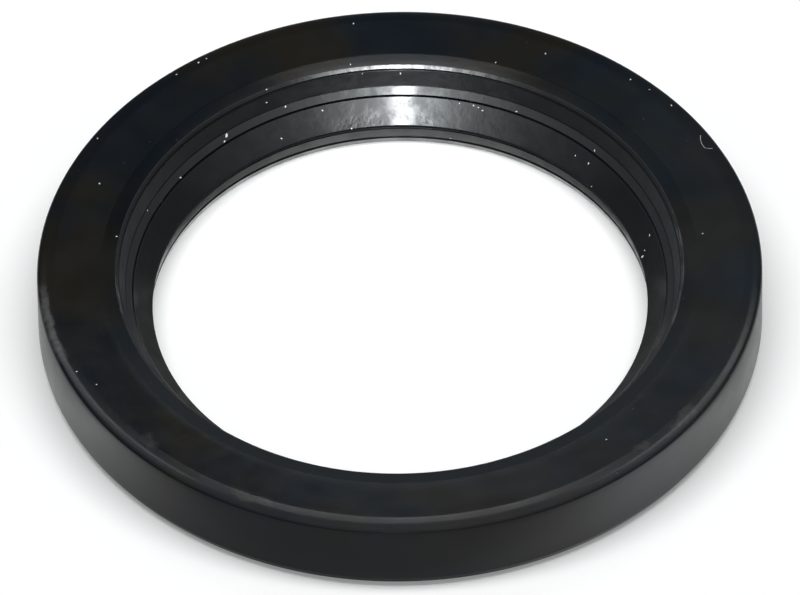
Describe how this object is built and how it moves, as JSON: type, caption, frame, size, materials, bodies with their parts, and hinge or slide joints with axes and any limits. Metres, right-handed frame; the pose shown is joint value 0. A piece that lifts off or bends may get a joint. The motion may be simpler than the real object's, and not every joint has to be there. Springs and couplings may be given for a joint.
{
  "type": "radial shaft seal",
  "caption": "Rubber-covered ring seal with a steel stiffening ring and a garter spring, for a rotating shaft in a round housing bore.",
  "frame": {"origin": "middle of the spring-side rim plane, on the shaft axis", "axes": "+Z along the shaft axis, from the spring side to the air side"},
  "size_m": [0.09, 0.09, 0.01],
  "materials": {
    "nitrile_rubber": "satin moulded",
    "phosphated_steel": "phosphated",
    "spring_wire": "drawn wire"
  },
  "bodies": {
    "root": {"rubber_body": "nitrile_rubber", "steel_ring": "phosphated_steel", "garter_spring": "spring_wire"}
  },
  "joints": []
}
